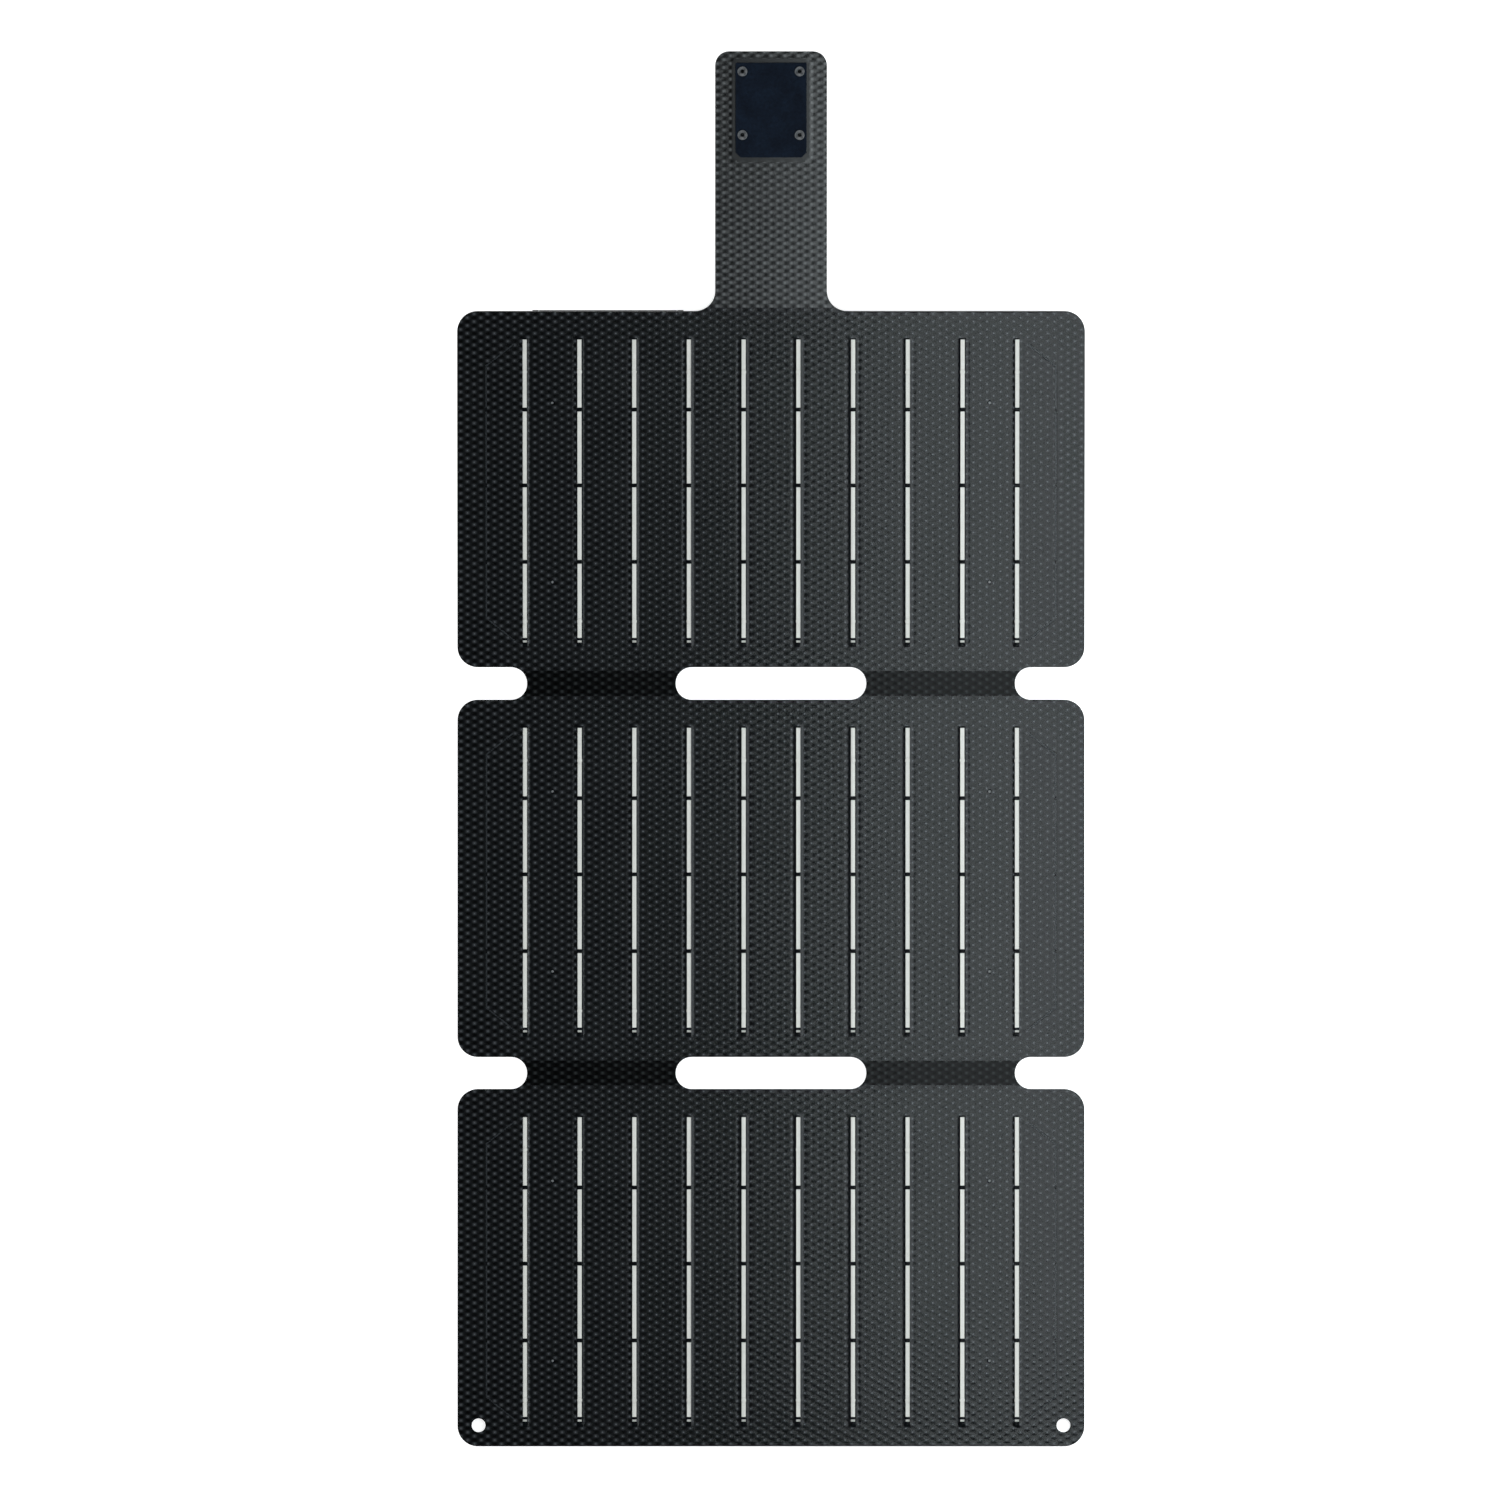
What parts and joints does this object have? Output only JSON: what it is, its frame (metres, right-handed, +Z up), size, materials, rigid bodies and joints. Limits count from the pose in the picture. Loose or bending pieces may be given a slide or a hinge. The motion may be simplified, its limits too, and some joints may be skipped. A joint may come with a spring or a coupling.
{
  "type": "flexible solar sheet",
  "caption": "Folding laminated solar sheet: hinged cell panels, slots between them, a closing flap with a hook patch, and a back-mounted charge controller with sockets.",
  "frame": {"origin": "centre of the open sheet's plan, on the surface it lies on", "axes": "+X across the sheet, +Y from the lower panel to the closing flap, +Z up, out of the face that takes the light"},
  "size_m": [0.2, 0.4446, 0.0264],
  "materials": {
    "clear_film": "clear embossed film over dark cells",
    "web_film": "black laminate under the same embossed film",
    "clear_seal": "clear encapsulant",
    "silicon": "dark blue-black coated silicon",
    "tinned_ribbon": "tin-coated copper",
    "black_tape": "matt black tape",
    "black_seal": "black encapsulant",
    "board": "glass-fibre board",
    "back_sheet": "black woven-look back sheet",
    "hook_pile": "navy-black hook pile",
    "loop_pile": "black loop pile",
    "rivet_metal": "dull grey metal",
    "foam_pad": "foam adhesive pad",
    "case_plastic": "fine-textured black moulding",
    "soft_rubber": "matt black rubber",
    "screw_steel": "black-passivated steel",
    "circuit_laminate": "green circuit laminate",
    "socket_steel": "nickel-plated steel",
    "socket_plastic": "moulded tongue",
    "ferrite": "sintered ferrite",
    "can_aluminium": "aluminium can",
    "chip_plastic": "moulded chip package",
    "lamp_lens": "diffuse lamp lens",
    "copper_lead": "copper wire"
  },
  "bodies": {
    "middle_panel": {"middle_front_film": "clear_film", "middle_front_encapsulant": "clear_seal", "middle_cell_strips": "silicon", "middle_tabbing_ribbons": "tinned_ribbon", "middle_bus_ribbons": "tinned_ribbon", "middle_masking_tapes": "black_tape", "middle_rear_encapsulant": "black_seal", "middle_stiffener_board": "board", "middle_back_sheet": "back_sheet", "loop_patch": "loop_pile", "upper_fold_web_film": "web_film", "upper_fold_web_backing": "back_sheet", "upper_fold_conductors": "tinned_ribbon", "lower_fold_web_film": "web_film", "lower_fold_web_backing": "back_sheet", "lower_fold_conductors": "tinned_ribbon"},
    "upper_panel": {"upper_front_film": "clear_film", "upper_front_encapsulant": "clear_seal", "upper_cell_strips": "silicon", "upper_tabbing_ribbons": "tinned_ribbon", "upper_bus_ribbons": "tinned_ribbon", "upper_masking_tapes": "black_tape", "upper_rear_encapsulant": "black_seal", "upper_stiffener_board": "board", "upper_back_sheet": "back_sheet", "flap_root_film": "web_film", "flap_root_backing": "back_sheet", "adhesive_pad": "foam_pad", "controller_base": "case_plastic", "lid_gasket": "soft_rubber", "controller_lid": "case_plastic", "lid_screws": "screw_steel", "circuit_board": "circuit_laminate", "wide_socket_shell": "socket_steel", "wide_socket_tongue": "socket_plastic", "slim_socket_shell": "socket_steel", "slim_socket_tongue": "socket_plastic", "power_inductor": "ferrite", "capacitors": "can_aluminium", "regulator_chips": "chip_plastic", "indicator_lamp": "lamp_lens", "input_leads": "copper_lead", "cover_pin": "screw_steel"},
    "lower_panel": {"lower_front_film": "clear_film", "lower_front_encapsulant": "clear_seal", "lower_cell_strips": "silicon", "lower_tabbing_ribbons": "tinned_ribbon", "lower_bus_ribbons": "tinned_ribbon", "lower_masking_tapes": "black_tape", "lower_rear_encapsulant": "black_seal", "lower_stiffener_board": "board", "lower_back_sheet": "back_sheet"},
    "closing_flap": {"flap_film": "web_film", "flap_core": "black_seal", "flap_backing": "back_sheet", "hook_patch": "hook_pile", "patch_rivets": "rivet_metal"},
    "dust_cover": {"dust_cover": "soft_rubber"}
  },
  "joints": [
    {"name": "upper_fold", "type": "hinge", "parent": "middle_panel", "child": "upper_panel", "pos_m": [0, 0.02105, 0.0043], "axis": [1, 0, 0], "range_deg": [-36.48, 173.52], "deforming": ["upper_fold_web_film", "upper_fold_web_backing", "upper_fold_conductors"]},
    {"name": "lower_fold", "type": "hinge", "parent": "middle_panel", "child": "lower_panel", "pos_m": [0, -0.10315, 0.0031], "axis": [-1, 0, 0], "range_deg": [-30, 180], "deforming": ["lower_fold_web_film", "lower_fold_web_backing", "lower_fold_conductors"]},
    {"name": "flap_fold", "type": "hinge", "parent": "upper_panel", "child": "closing_flap", "pos_m": [0, 0.1448, 0.02058], "axis": [1, 0, 0], "range_deg": [-30, 180], "deforming": ["flap_root_film", "flap_root_backing"]},
    {"name": "cover_hinge", "type": "hinge", "parent": "upper_panel", "child": "dust_cover", "pos_m": [0, 0.13871, 0.00509], "axis": [-1, 0, 0], "range_deg": [0, 150]}
  ]
}
